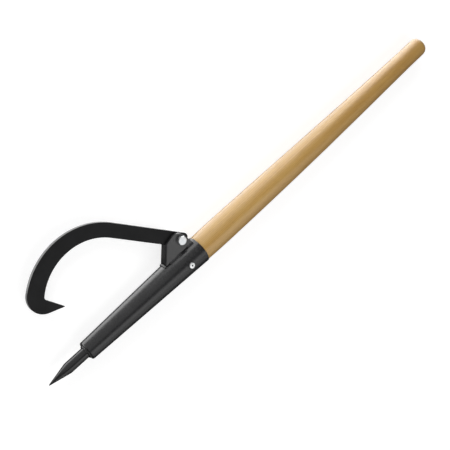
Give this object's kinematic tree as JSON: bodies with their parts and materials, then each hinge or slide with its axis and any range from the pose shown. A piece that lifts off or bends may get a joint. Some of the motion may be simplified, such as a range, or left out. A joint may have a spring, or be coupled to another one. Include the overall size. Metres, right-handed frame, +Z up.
{
  "type": "peavey",
  "caption": "Logger's lever: hardwood handle in a tapered steel socket with a round spike at the nose and a flat swinging hook bolted in a welded bracket.",
  "frame": {"origin": "middle of the tool's underside as it lies on its side, on the plane it lies on", "axes": "+X along the tool from the spike to the handle's end, +Y towards the side that the hook is on, +Z up, square to the flat of the hook's plate and along the pivot bolt towards its head"},
  "size_m": [1.219, 0.2788, 0.068],
  "materials": {
    "socket_paint": "satin",
    "hook_paint": "satin",
    "hardwood": "varnished",
    "zinc": "bright zinc plated",
    "bare_steel": "turned",
    "nylon": "natural"
  },
  "bodies": {
    "lever": {"handle": "hardwood", "socket_tube": "socket_paint", "nose_bushing": "bare_steel", "spike": "socket_paint", "spike_weld": "socket_paint", "bracket": "socket_paint", "bracket_weld_foot": "socket_paint", "bracket_weld_near_front": "socket_paint", "bracket_weld_near_rear": "socket_paint", "bracket_weld_far_front": "socket_paint", "bracket_weld_far_rear": "socket_paint", "pivot_bolt": "zinc", "nut_washer": "zinc", "lock_nut": "zinc", "lock_nut_insert": "nylon", "socket_screw": "zinc"},
    "swinging_hook": {"hook": "hook_paint"}
  },
  "joints": [
    {"name": "hook_swing", "type": "hinge", "parent": "lever", "child": "swinging_hook", "pos_m": [-0.1892, -0.05211, 0.0325], "axis": [0, 0, -1], "range_deg": [0, 134]}
  ]
}
